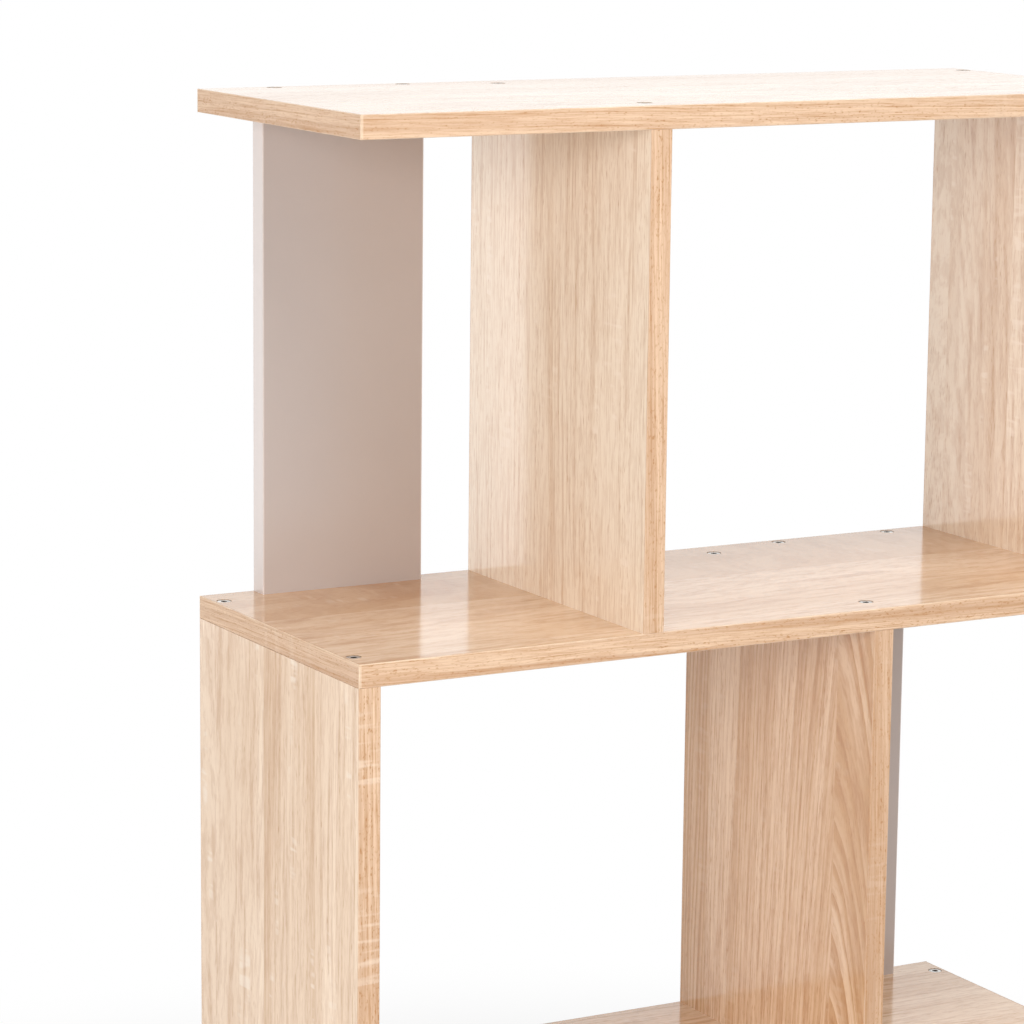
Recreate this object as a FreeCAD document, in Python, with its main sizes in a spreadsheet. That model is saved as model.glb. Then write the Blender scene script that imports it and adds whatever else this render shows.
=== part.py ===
import FreeCAD, Part

# Shelving unit of faced chipboard. Four equal shelves lie above each other in three tiers.
# Each tier stands on an oak upright flush with one end of the shelves, an oak upright set in from
# the other end, and a narrow grey panel at the back of the end bay that this leaves. The middle tier
# is the mirror image of the other two. One-piece connector screws go through the faces of the shelves
# into the ends of the uprights and panels.
#
# Millimetres, +Z up, X along the shelves, the front towards -Y. The origin is on the floor, under the
# middle of the unit's width and depth.

import math
import os
import re
import Sketcher


# Driving dimensions, each with the alias of its cell in the sheet

SIZES = {
    # boards
    "board_thickness": 16,
    "shelf_length": 635,
    "shelf_depth": 250,
    "tier_height": 340,
    # from the open end of an end bay to the near face of the inner upright
    "end_bay_length": 215,
    # grey panel, and the gap between it and the open end of its bay
    "panel_width": 126,
    "panel_end_gap": 42,
    # edge bands, and the bevel that trims their outer edges
    "band_thickness": 1,
    "band_bevel": 0.5,
    # connector screw: countersunk head, shank as wide as its thread, hexagon socket
    "screw_length": 50,
    "head_width": 9.8,
    "shank_width": 6,
    "socket_width": 4,
    "socket_depth": 2.5,
    # screw holes: clearance all round, depth of the head below the face, room beyond the tip
    "screw_clearance": 0.1,
    "head_recess": 0.3,
    "tip_room": 2,
    # screw places: from the front and back of an upright, and from the sides of a panel
    "upright_screw_inset": 24,
    "panel_screw_inset": 13,
    # square felt pads under the base shelf
    "pad_side": 22,
    "pad_height": 3,
    "pad_inset": 30,
}

# Half the angle between opposite sides of a countersunk head, in degrees

HEAD_SLOPE = 45

# Sides of a screw and of its holes, drawn as prisms because there are so many, and of its socket

SCREW_SIDES = 12
SOCKET_SIDES = 6

# Formulas of the driving dimensions that several pieces share

FRONT = "-shelf_depth / 2"
BACK = "shelf_depth / 2"
LEFT_END = "-shelf_length / 2"
RIGHT_END = "shelf_length / 2"
CORE_LENGTH = "shelf_length - 2 * band_thickness"
CORE_DEPTH = "shelf_depth - 2 * band_thickness"
HOLE_WIDTH = "(shank_width + 2 * screw_clearance)"

# Shelves from the floor up, and the tiers between them, each with the side of its end upright:
# 1 is the right end of the shelves and -1 the left

SHELVES = ("base_shelf", "lower_shelf", "upper_shelf", "top_shelf")
TIERS = (("lower", 1), ("middle", -1), ("upper", 1))


# Sheet and formulas

document = FreeCAD.newDocument("ShelvingUnit")


def make_sheet():
    sheet = document.addObject("Spreadsheet::Sheet", "Sizes")
    for row, (alias, size) in enumerate(SIZES.items(), start=1):
        sheet.set(f"A{row}", alias.replace("_", " "))
        sheet.set(f"B{row}", str(size))
        sheet.setAlias(f"B{row}", alias)
    document.recompute()
    return sheet


sizes = make_sheet()


def formula(text):
    """The text with every alias written as a reference to its cell."""
    for alias in SIZES:
        text = re.sub(rf"\b{alias}\b", f"Sizes.{alias}", text)
    return text


def value(text):
    return float(sizes.evalExpression(formula(text)))


def bind(thing, prop, text):
    thing.setExpression(prop, formula(text))


def place(thing, across, along, up):
    """Binds where the thing's own origin stands in the frame of the whole unit."""
    bind(thing, "Placement.Base.x", across)
    bind(thing, "Placement.Base.y", along)
    bind(thing, "Placement.Base.z", up)


# Sketches

def flat_sketch(body, name, height="0"):
    """An empty sketch on the body's own XY plane, raised by the height."""
    sketch = body.newObject("Sketcher::SketchObject", name)
    plane = next(feature for feature in body.Origin.OriginFeatures if feature.Role == "XY_Plane")
    sketch.AttachmentSupport = [(plane, "")]
    sketch.MapMode = "FlatFace"
    bind(sketch, "AttachmentOffset.Base.z", height)
    return sketch


def locate(sketch, geometry, point, across, along):
    """Holds one point of a sketch at its distances from the sketch's origin."""
    for kind, axis, text in (("DistanceX", -2, across), ("DistanceY", -1, along)):
        if text == "0":
            sketch.addConstraint(Sketcher.Constraint("PointOnObject", geometry, point, axis))
        else:
            held = sketch.addConstraint(Sketcher.Constraint(kind, -1, 1, geometry, point, value(text)))
            bind(sketch, f"Constraints[{held}]", text)


def joined_ends(before, lines):
    """Joins the end of each line's forerunner, point 2, to the line's own start, point 1."""
    return [(last, 2, line, 1) for last, line in zip(before, lines)]


def draw_lines(sketch, spots):
    """A closed outline of straight lines, each ending at its spot."""
    starts = [spots[-1], *spots]
    lines = sketch.addGeometry([Part.LineSegment(start, end) for start, end in zip(starts, spots)], False)
    before = [lines[-1], *lines]
    sketch.addConstraint([Sketcher.Constraint("Coincident", *ends) for ends in joined_ends(before, lines)])
    return lines


def draw_rectangle(sketch, width, depth):
    """A rectangle from the sketch's origin."""
    right = value(width)
    back = value(depth)
    corners = [FreeCAD.Vector(*spot) for spot in ((0, 0), (right, 0), (right, back), (0, back))]
    left_line, front_line, right_line, back_line = draw_lines(sketch, corners)
    sketch.addConstraint([
        Sketcher.Constraint("Vertical", left_line),
        Sketcher.Constraint("Horizontal", front_line),
        Sketcher.Constraint("Vertical", right_line),
        Sketcher.Constraint("Horizontal", back_line),
        Sketcher.Constraint("Coincident", left_line, 2, -1, 1),
    ])
    locate(sketch, right_line, 2, width, depth)


def draw_polygon(sketch, sides, width, across="0", along="0"):
    """A regular polygon with a corner towards +X. Its width is measured between opposite sides."""
    across_corners = f"{width} / cos({180 / sides})"
    radius = value(across_corners) / 2
    centre = FreeCAD.Vector(value(across), value(along), 0)
    turns = [math.tau * corner / sides for corner in range(sides)]
    corners = [centre + FreeCAD.Vector(radius * math.cos(turn), radius * math.sin(turn)) for turn in turns]
    lines = draw_lines(sketch, corners)
    circle = sketch.addGeometry(Part.Circle(centre, FreeCAD.Vector(0, 0, 1), radius), True)
    sketch.addConstraint([
        Sketcher.Constraint("Horizontal", circle, 3, lines[0], 2),
        *(Sketcher.Constraint("PointOnObject", line, 2, circle) for line in lines),
        *(Sketcher.Constraint("Equal", lines[0], line) for line in lines[1:]),
    ])
    locate(sketch, circle, 3, across, along)
    held = sketch.addConstraint(Sketcher.Constraint("Diameter", circle, 2 * radius))
    bind(sketch, f"Constraints[{held}]", across_corners)


# Boards, and the holes drilled into them for the screws

def make_block(name, width, depth, height):
    """A rectangular board with one corner on its own origin."""
    body = document.addObject("PartDesign::Body", name)
    outline = flat_sketch(body, f"{name}_outline")
    draw_rectangle(outline, width, depth)
    pad = body.newObject("PartDesign::Pad", f"{name}_pad")
    pad.Profile = outline
    bind(pad, "Length", height)
    document.recompute()
    return body


def cut_holes(body, name, height, centres, width, depth, upward, slope=0):
    """Holes from the plane at the height, upward or downward, each side sloping in by the angle."""
    volume = body.Shape.Volume
    outlines = flat_sketch(body, f"{name}_outlines", height)
    for across, along in centres:
        draw_polygon(outlines, SCREW_SIDES, width, across, along)
    holes = body.newObject("PartDesign::Pocket", f"{name}s")
    holes.Profile = outlines
    holes.Reversed = upward
    holes.TaperAngle = -slope
    bind(holes, "Length", depth)
    document.recompute()
    if body.Shape.Volume >= volume:
        raise RuntimeError(f"{body.Label}: {name}s removed nothing")


def drill_face(body, name, height, centres, upward):
    """Countersunk holes right through a shelf, opening towards the heads of the screws."""
    mouth = "(head_width + 2 * head_recess + 2 * screw_clearance)"
    sink = f"({mouth} - {HOLE_WIDTH}) / 2"
    cut_holes(body, f"{name}_sink", height, centres, mouth, sink, upward, HEAD_SLOPE)
    cut_holes(body, f"{name}_bore", height, centres, HOLE_WIDTH, "board_thickness", upward)


def drill_end(body, name, height, centres, upward):
    """Blind pilot holes in the end of an upright or panel."""
    depth = "screw_length + head_recess - board_thickness + tip_room"
    cut_holes(body, name, height, centres, HOLE_WIDTH, depth, upward)


# Edge bands, drawn once with the outer face at y = 0 and set round the boards as links

def bevel_outer_edges(body, upright_edges, level_edges):
    """Bevels the chosen edges of a band's outer face."""
    strip = body.Tip
    names = []
    for number, edge in enumerate(strip.Shape.Edges, start=1):
        box = edge.BoundBox
        on_outer_face = box.YMax < value("band_bevel") / 2
        stands = box.ZLength > box.XLength
        if on_outer_face and (upright_edges if stands else level_edges):
            names.append(f"Edge{number}")
    bevel = body.newObject("PartDesign::Chamfer", f"{body.Name}_bevel")
    bevel.Base = (strip, names)
    bind(bevel, "Size", "band_bevel")
    document.recompute()
    return body


def make_long_band():
    """Covers the whole front or back of a shelf, and the ends of its end bands."""
    band = make_block("long_band", "shelf_length", "band_thickness", "board_thickness")
    return bevel_outer_edges(band, upright_edges=True, level_edges=True)


def make_end_band():
    """Covers the end of a shelf between its two long bands."""
    band = make_block("end_band", CORE_DEPTH, "band_thickness", "board_thickness")
    return bevel_outer_edges(band, upright_edges=False, level_edges=True)


def make_standing_band():
    """Covers the long edge of an upright or panel."""
    band = make_block("standing_band", "board_thickness", "band_thickness", "tier_height")
    return bevel_outer_edges(band, upright_edges=True, level_edges=False)


def set_copy(master, name, across, along, up, axis=(0, 0, 1), turn=0):
    """A link to the master, turned about one axis and set in place."""
    copy = document.addObject("App::Link", name)
    copy.LinkedObject = master
    copy.Placement = FreeCAD.Placement(FreeCAD.Vector(), FreeCAD.Rotation(FreeCAD.Vector(*axis), turn))
    place(copy, across, along, up)
    return copy


def group(name, members):
    """One node that holds several like pieces, each a solid of its own."""
    node = document.addObject("Part::Compound", name)
    node.Links = members
    return node


def band_shelf(name, bands, up):
    side = f"{FRONT} + band_thickness"
    return group(f"{name}_edging", [
        set_copy(bands["long"], f"{name}_front_band", LEFT_END, FRONT, up),
        set_copy(bands["long"], f"{name}_back_band", RIGHT_END, BACK, up, turn=180),
        set_copy(bands["end"], f"{name}_left_band", LEFT_END, f"-({side})", up, turn=-90),
        set_copy(bands["end"], f"{name}_right_band", RIGHT_END, side, up, turn=90),
    ])


def band_upright(name, bands, left, right, up):
    return group(f"{name}_edging", [
        set_copy(bands["standing"], f"{name}_front_band", left, FRONT, up),
        set_copy(bands["standing"], f"{name}_back_band", right, BACK, up, turn=180),
    ])


def band_panel(name, bands, left, right, up):
    return group(f"{name}_edging", [
        set_copy(bands["standing"], f"{name}_left_band", left, BACK, up, turn=-90),
        set_copy(bands["standing"], f"{name}_right_band", right, f"{BACK} - board_thickness", up, turn=90),
    ])


# Connector screw, drawn with its point on its own origin and its head up

def make_screw():
    body = document.addObject("PartDesign::Body", "screw")
    shank_outline = flat_sketch(body, "shank_outline")
    draw_polygon(shank_outline, SCREW_SIDES, "shank_width")
    shank = body.newObject("PartDesign::Pad", "shank")
    shank.Profile = shank_outline
    bind(shank, "Length", "screw_length")
    head_outline = flat_sketch(body, "head_outline", "screw_length")
    draw_polygon(head_outline, SCREW_SIDES, "head_width")
    head = body.newObject("PartDesign::Pad", "head")
    head.Profile = head_outline
    head.Reversed = True
    head.TaperAngle = -HEAD_SLOPE
    bind(head, "Length", "(head_width - shank_width) / 2")
    socket_outline = flat_sketch(body, "socket_outline", "screw_length")
    draw_polygon(socket_outline, SOCKET_SIDES, "socket_width")
    socket = body.newObject("PartDesign::Pocket", "socket")
    socket.Profile = socket_outline
    bind(socket, "Length", "socket_depth")
    document.recompute()
    return body


def drive_screws(name, screw, points, face, upward):
    """Screws driven into one face of a shelf, with their heads just below it."""
    reach = "(screw_length + head_recess)"
    level = f"{face} + {reach}" if upward else f"{face} - {reach}"
    return group(name, [
        set_copy(screw, f"{name}_{index}", across, along, level, axis=(1, 0, 0), turn=180 if upward else 0)
        for index, (across, along) in enumerate(points, start=1)
    ])


# Where the uprights, panels and screws of a tier stand

def shelf_level(storeys):
    """The underside of the shelf with so many tiers below it."""
    return f"pad_height + {storeys} * (tier_height + board_thickness)"


def end_upright_middle(side):
    return f"{side} * (shelf_length / 2 - board_thickness / 2)"


def inner_upright_middle(side):
    return f"{-side} * (shelf_length / 2 - end_bay_length - board_thickness / 2)"


def panel_middle(side):
    return f"{-side} * (shelf_length / 2 - panel_end_gap - panel_width / 2)"


def upright_points(middle):
    inset = "(shelf_depth / 2 - upright_screw_inset)"
    return [(middle, f"-{inset}"), (middle, inset)]


def panel_points(middle):
    spread = "(panel_width / 2 - panel_screw_inset)"
    along = f"{BACK} - board_thickness / 2"
    return [(f"{middle} - {spread}", along), (f"{middle} + {spread}", along)]


def tier_points(side):
    """Every screw place of one tier, which the shelves above and below it share."""
    return [
        *upright_points(end_upright_middle(side)),
        *upright_points(inner_upright_middle(side)),
        *panel_points(panel_middle(side)),
    ]


# Pieces of the unit

def make_shelf(name, storeys, screw, bands):
    """One shelf with its edge bands and the screws driven through its faces."""
    under = shelf_level(storeys)
    core_left = f"{LEFT_END} + band_thickness"
    core_front = f"{FRONT} + band_thickness"
    body = make_block(name, CORE_LENGTH, CORE_DEPTH, "board_thickness")
    place(body, core_left, core_front, under)
    nodes = [body, band_shelf(name, bands, under)]
    faces = (("down", storeys - 1, "board_thickness", False), ("up", storeys, "0", True))
    for word, tier, height, upward in faces:
        if tier not in range(len(TIERS)):
            continue
        points = tier_points(TIERS[tier][1])
        centres = [(f"{across} - ({core_left})", f"{along} - ({core_front})") for across, along in points]
        drill_face(body, f"{name}_holes_{word}", height, centres, upward)
        nodes.append(drive_screws(f"{name}_screws_{word}", screw, points, f"{under} + {height}", upward))
    return nodes


def stand_board(name, tier, left, front, width, depth, points):
    """A board between two shelves, with pilot holes in both of its ends."""
    foot = f"{shelf_level(tier)} + board_thickness"
    body = make_block(name, width, depth, "tier_height")
    place(body, left, front, foot)
    centres = [(f"{across} - ({left})", f"{along} - ({front})") for across, along in points]
    drill_end(body, f"{name}_foot_holes", "0", centres, True)
    drill_end(body, f"{name}_head_holes", "tier_height", centres, False)
    return body, foot


def make_upright(name, tier, middle, bands):
    """An oak board as deep as the shelves, banded at the front and back."""
    left = f"{middle} - board_thickness / 2"
    right = f"{middle} + board_thickness / 2"
    core_front = f"{FRONT} + band_thickness"
    points = upright_points(middle)
    body, foot = stand_board(name, tier, left, core_front, "board_thickness", CORE_DEPTH, points)
    return [body, band_upright(name, bands, left, right, foot)]


def make_panel(name, tier, middle, bands):
    """A narrow grey board across the back of an end bay, banded at both sides."""
    left = f"{middle} - panel_width / 2"
    right = f"{middle} + panel_width / 2"
    core_left = f"{left} + band_thickness"
    core_front = f"{BACK} - board_thickness"
    core_width = "panel_width - 2 * band_thickness"
    points = panel_points(middle)
    body, foot = stand_board(name, tier, core_left, core_front, core_width, "board_thickness", points)
    return [body, band_panel(name, bands, left, right, foot)]


def make_pads():
    """Felt pads stuck under the ends and the middle of the base shelf."""
    pad = make_block("pad", "pad_side", "pad_side", "pad_height")
    end = "(shelf_length / 2 - pad_inset)"
    edge = "(shelf_depth / 2 - pad_inset)"
    places = [(across, along) for across in (f"-{end}", "0", end) for along in (f"-{edge}", edge)]
    return group("base_pads", [
        set_copy(pad, f"pad_{index}", f"{across} - pad_side / 2", f"{along} - pad_side / 2", "0")
        for index, (across, along) in enumerate(places, start=1)
    ])


def make_unit():
    screw = make_screw()
    bands = {"long": make_long_band(), "end": make_end_band(), "standing": make_standing_band()}
    nodes = []
    for storeys, name in enumerate(SHELVES):
        nodes += make_shelf(name, storeys, screw, bands)
    for tier, (name, side) in enumerate(TIERS):
        nodes += make_upright(f"{name}_end_upright", tier, end_upright_middle(side), bands)
        nodes += make_upright(f"{name}_inner_upright", tier, inner_upright_middle(side), bands)
        nodes += make_panel(f"{name}_panel", tier, panel_middle(side), bands)
    nodes.append(make_pads())
    document.recompute()
    return nodes


def check_document(nodes):
    for thing in document.Objects:
        if "Invalid" in thing.State or "Error" in thing.State:
            raise RuntimeError(f"{thing.Label} failed: {thing.State}")
    for node in nodes:
        if node.Shape.isNull() or not node.Shape.isValid():
            raise RuntimeError(f"{node.Label} has no valid shape")


def write_nodes(nodes):
    os.makedirs("parts", exist_ok=True)
    for node in nodes:
        node.Shape.exportStep(f"parts/{node.Label}.step")
        print(node.Label, len(node.Shape.Solids), round(node.Shape.Volume))


unit = make_unit()
check_document(unit)
write_nodes(unit)
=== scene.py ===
import math

import bmesh
import bpy
from mathutils import Matrix, Vector, noise


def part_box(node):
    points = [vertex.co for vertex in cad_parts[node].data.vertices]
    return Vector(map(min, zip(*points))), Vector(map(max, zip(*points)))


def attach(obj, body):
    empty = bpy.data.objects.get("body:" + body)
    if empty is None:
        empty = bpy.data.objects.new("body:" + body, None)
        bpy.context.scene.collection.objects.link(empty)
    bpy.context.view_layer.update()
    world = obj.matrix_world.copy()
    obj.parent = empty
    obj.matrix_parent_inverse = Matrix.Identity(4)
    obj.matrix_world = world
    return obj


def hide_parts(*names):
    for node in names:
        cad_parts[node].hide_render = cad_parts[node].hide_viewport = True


# Open shelving unit: oak-faced boards, narrow grey panels and steel connector screws, in metres,
# +Z up, X along the shelves and the front towards -Y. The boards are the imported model's own.
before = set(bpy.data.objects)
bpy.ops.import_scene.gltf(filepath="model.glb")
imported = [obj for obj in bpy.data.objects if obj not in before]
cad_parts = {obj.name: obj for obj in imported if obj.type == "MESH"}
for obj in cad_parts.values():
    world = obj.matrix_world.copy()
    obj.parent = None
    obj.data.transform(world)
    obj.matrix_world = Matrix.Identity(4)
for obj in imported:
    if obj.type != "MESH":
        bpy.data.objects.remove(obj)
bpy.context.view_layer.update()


# Shelves. Each is a 16 mm chipboard core with a pale oak decor pressed on both faces, its grain along
# the shelf. The decor has long tone bands, short dark pores, and pale flecks across the grain. Where a
# screw is sunk through the face, the brown chipboard shows in the slope of the hole.

OAK_PALE = (0.948, 0.740, 0.550, 1.0)
OAK_TAN = (0.625, 0.375, 0.190, 1.0)
OAK_PORE = (0.500, 0.250, 0.105, 1.0)
OAK_FLECK = (0.960, 0.820, 0.680, 1.0)
CHIP_PALE = (0.420, 0.270, 0.150, 1.0)
CHIP_DARK = (0.130, 0.075, 0.040, 1.0)
GLUE_BROWN = (0.300, 0.180, 0.100, 1.0)

# Year rings, and the staves that the print joins side by side, each a step further from the heart
RING_SPACING = 0.0055
RING_WAVER = 0.006
WAVER_LENGTHS = (0.22, 0.07, 0.05)
STAVE_WIDTH = 0.08
STAVE_JOINT = 0.02
STAVE_PLACE = (7.3, 2.9)
STAVE_STEP = 0.120
STAVE_TURN = 2.4

# Noise that follows the rings: steps across a ring's width, steps along a metre, detail, roughness
BROAD_TONES = (0.24, 1.6, 2.0, 0.5)
BANDS = (0.9, 3.4, 3.0, 0.6)
FIBRES = (3.4, 42.0, 3.0, 0.7)
STREAKS = (1.5, 7.0, 2.0, 0.6)

# Pores and flecks: steps of their noise along the grain, across it and through the board
PORE_SHAPE = (10.0, 1.0, 4.0)
RUNG_LENGTHS = (0.0052, 0.0300, 0.0500)
FLECK_LENGTH = 0.11

# Where each noise begins to show, and where it shows in full
SHOWS = {
    "broad": (0.38, 0.64), "bands": (0.40, 0.70), "fibres": (0.44, 0.62), "streaks": (0.50, 0.66),
    "year": (0.45, 0.98), "crowds": (0.42, 0.62), "pores": (0.55, 0.72),
    "columns": (0.58, 0.70), "rungs": (0.50, 0.68),
}

# How far the year lines stray, how their strength swings from stave to stave, and how pores crowd
YEAR_STRAY = 4.0
YEAR_SWING = 0.4
YEAR_MIDDLE = 0.6
PORE_RISE = 0.65
PORE_LEAST = 0.30

# How much of the tan each tone adds to the pale wood, and how much of the pore colour each mark adds
TAN_SHARES = {"all": 0.10, "stave": 0.15, "broad": 0.32, "bands": 0.22, "year": 0.30}
PORE_SHARES = {"fibres": 0.25, "pores": 0.56, "streaks": 0.27, "year": 0.15}

# How much of the chips shows where a shelf is drilled, and where an upright is sawn
BARED_CHIPS = {"X": 1.0, "Z": 0.35}
CHIPS_PER_METRE = 900.0
GLUE_LINE = 0.0004
GLUE_SHARE = 0.55
GLUE_EDGE = (0.3, 0.7)

# How squarely a surface has to face an axis to count as flat, from none of it to all of it
FLAT_FACING = (0.80, 0.95)

FACE_ROUGHNESS = 0.10
PORE_ROUGHNESS = 0.10
BROAD_ROUGHNESS = 0.05
CUT_ROUGHNESS = 0.60
FACE_RELIEF = 0.00002
FIBRE_HEIGHT = 0.35
LAMINATE_IOR = 1.7
SHELF_NAMES = ("base_shelf", "lower_shelf", "upper_shelf", "top_shelf")


def start_group(name, inputs, outputs):
    """A shader node group with named sockets, and the two nodes inside that carry them."""
    group = bpy.data.node_groups.new(name, "ShaderNodeTree")
    for side, sockets in (("INPUT", inputs), ("OUTPUT", outputs)):
        for socket, kind in sockets.items():
            group.interface.new_socket(socket, in_out=side, socket_type=f"NodeSocket{kind}")
    given = group.nodes.new("NodeGroupInput").outputs
    result = group.nodes.new("NodeGroupOutput").inputs
    return group, given, result


def add_node(tree, kind, sockets=None, **settings):
    """A node whose inputs are plain values or other nodes' outputs."""
    node = tree.nodes.new(f"ShaderNode{kind}")
    for setting, value in settings.items():
        setattr(node, setting, value)
    for socket, value in (sockets or {}).items():
        if isinstance(value, bpy.types.NodeSocket):
            tree.links.new(value, node.inputs[socket])
        else:
            node.inputs[socket].default_value = value
    return node


def calculate(tree, operation, *values):
    return add_node(tree, "Math", dict(enumerate(values)), operation=operation).outputs[0]


def combine(tree, across, along, deep=0.0):
    return add_node(tree, "CombineXYZ", {"X": across, "Y": along, "Z": deep}).outputs[0]


def fade(tree, value, start, end):
    """Rises smoothly from 0 at the start to 1 at the end."""
    sockets = {"Value": value, "From Min": start, "From Max": end}
    return add_node(tree, "MapRange", sockets, interpolation_type="SMOOTHSTEP").outputs[0]


def speckle(tree, place, detail=2.0, roughness=0.5):
    sockets = {"Vector": place, "Scale": 1.0, "Detail": detail, "Roughness": roughness}
    return add_node(tree, "TexNoise", sockets).outputs["Fac"]


def blend_colour(tree, share, low, high):
    node = add_node(tree, "Mix", {"Factor": share}, data_type="RGBA")
    for socket, colour in ((6, low), (7, high)):
        if isinstance(colour, bpy.types.NodeSocket):
            tree.links.new(colour, node.inputs[socket])
        else:
            node.inputs[socket].default_value = colour
    return node.outputs[2]


def scaled(tree, place, along, across, through):
    """The place in steps of the given lengths along the grain, across it and through the board."""
    lengths = (1 / along, 1 / across, 1 / through)
    return add_node(tree, "VectorMath", {0: place, 1: lengths}, operation="MULTIPLY").outputs[0]


def stepped(tree, place, length):
    """The place in steps of the same length each way."""
    return scaled(tree, place, length, length, length)


def add_places(tree, first, second):
    return add_node(tree, "VectorMath", {0: first, 1: second}, operation="ADD").outputs[0]


def make_oak_decor():
    """Oak print. Place runs along the grain in X, across it in Y and through the board in Z."""
    inputs = {
        "Place": "Vector", "Seed": "Vector", "Heart": "Float", "Depth": "Float", "Tilt": "Float",
        "Spacing": "Float", "Rings": "Float", "Joint": "Float", "Stave": "Float",
        "Pale": "Color", "Tan": "Color", "Pore": "Color", "Fleck": "Color",
        "Flecks": "Float", "Fleck Width": "Float", "Pore Width": "Float",
        "Tone": "Float", "Contrast": "Float",
    }
    outputs = {"Color": "Color", "Height": "Float", "Roughness": "Float"}
    tree, given, result = start_group("oak decor", inputs, outputs)
    parts = add_node(tree, "SeparateXYZ", {0: given["Place"]}).outputs
    seed = add_node(tree, "SeparateXYZ", {0: given["Seed"]}).outputs

    # The print joins staves of oak side by side, each from its own part of the log
    stave = calculate(tree, "SUBTRACT", parts["Y"], given["Joint"])
    stave = calculate(tree, "FLOOR", calculate(tree, "DIVIDE", stave, given["Stave"]))
    stave_tone = calculate(tree, "MULTIPLY_ADD", stave, STAVE_TURN, seed["X"])
    stave_tone = calculate(tree, "SINE", stave_tone)
    moved = combine(tree, *(calculate(tree, "MULTIPLY", stave, step) for step in STAVE_PLACE))
    shifted = add_places(tree, add_places(tree, given["Place"], given["Seed"]), moved)

    # Year rings round a tilted heart, cut by the board into arches near it and stripes beside it
    waver = speckle(tree, scaled(tree, shifted, *WAVER_LENGTHS), detail=3.0)
    waver = calculate(tree, "MULTIPLY", calculate(tree, "SUBTRACT", waver, 0.5), RING_WAVER)
    across = calculate(tree, "SUBTRACT", parts["Y"], given["Heart"])
    across = calculate(tree, "MULTIPLY_ADD", stave, STAVE_STEP, across)
    depth = calculate(tree, "MULTIPLY_ADD", parts["X"], given["Tilt"], given["Depth"])
    depth = calculate(tree, "ADD", depth, parts["Z"])
    squares = calculate(tree, "MULTIPLY_ADD", across, across, calculate(tree, "MULTIPLY", depth, depth))
    radius = calculate(tree, "ADD", calculate(tree, "SQRT", squares), waver)
    rings = calculate(tree, "DIVIDE", radius, given["Spacing"])
    along = add_node(tree, "SeparateXYZ", {0: shifted}).outputs["X"]

    def ring_noise(per_ring, per_metre, detail, roughness):
        """Noise that is fine across the rings and long along them."""
        over_rings = calculate(tree, "MULTIPLY", rings, per_ring)
        along_rings = calculate(tree, "MULTIPLY", along, per_metre)
        return speckle(tree, combine(tree, over_rings, along_rings, seed["Y"]), detail, roughness)

    broad = ring_noise(*BROAD_TONES)
    bands = ring_noise(*BANDS)
    fibres = fade(tree, ring_noise(*FIBRES), *SHOWS["fibres"])
    streaks = fade(tree, ring_noise(*STREAKS), *SHOWS["streaks"])

    # Each year's growth darkens slowly and ends sharply, more plainly in some staves than in others
    figure = calculate(tree, "MULTIPLY_ADD", stave_tone, YEAR_SWING, YEAR_MIDDLE)
    figure = calculate(tree, "MULTIPLY", figure, given["Rings"])
    year = calculate(tree, "FRACT", calculate(tree, "MULTIPLY_ADD", broad, YEAR_STRAY, rings))
    year = calculate(tree, "MULTIPLY", fade(tree, year, *SHOWS["year"]), figure)

    tone = calculate(tree, "MULTIPLY_ADD", stave_tone, TAN_SHARES["stave"], TAN_SHARES["all"])
    broad_tone = fade(tree, broad, *SHOWS["broad"])
    band_tone = fade(tree, bands, *SHOWS["bands"])
    tone = calculate(tree, "MULTIPLY_ADD", broad_tone, TAN_SHARES["broad"], tone)
    tone = calculate(tree, "MULTIPLY_ADD", band_tone, TAN_SHARES["bands"], tone)
    tone = calculate(tree, "MULTIPLY_ADD", year, TAN_SHARES["year"], tone)
    tone = calculate(tree, "ADD", tone, given["Tone"])

    # Short dark pores along the grain, crowded where a year's growth began
    narrow = calculate(tree, "DIVIDE", 1.0, given["Pore Width"])
    pores = {0: scaled(tree, shifted, *PORE_SHAPE), "Scale": narrow}
    pores = add_node(tree, "VectorMath", pores, operation="SCALE").outputs[0]
    pores = speckle(tree, pores, detail=1.5, roughness=0.6)
    crowded = fade(tree, bands, *SHOWS["crowds"])
    crowded = calculate(tree, "MULTIPLY_ADD", crowded, PORE_RISE, PORE_LEAST)
    crowded = calculate(tree, "MAXIMUM", crowded, year)
    pores = calculate(tree, "MULTIPLY", fade(tree, pores, *SHOWS["pores"]), crowded)

    # Pale flecks that cross the grain like rungs, in a few narrow columns
    up_column = calculate(tree, "DIVIDE", along, FLECK_LENGTH)
    over_columns = calculate(tree, "DIVIDE", parts["Y"], given["Fleck Width"])
    columns = speckle(tree, combine(tree, up_column, over_columns, seed["Z"]), detail=1.0)
    columns = fade(tree, columns, *SHOWS["columns"])
    rungs = speckle(tree, scaled(tree, shifted, *RUNG_LENGTHS), detail=1.0)
    rungs = fade(tree, rungs, *SHOWS["rungs"])
    flecks = calculate(tree, "MULTIPLY", calculate(tree, "MULTIPLY", rungs, columns), given["Flecks"])

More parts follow.
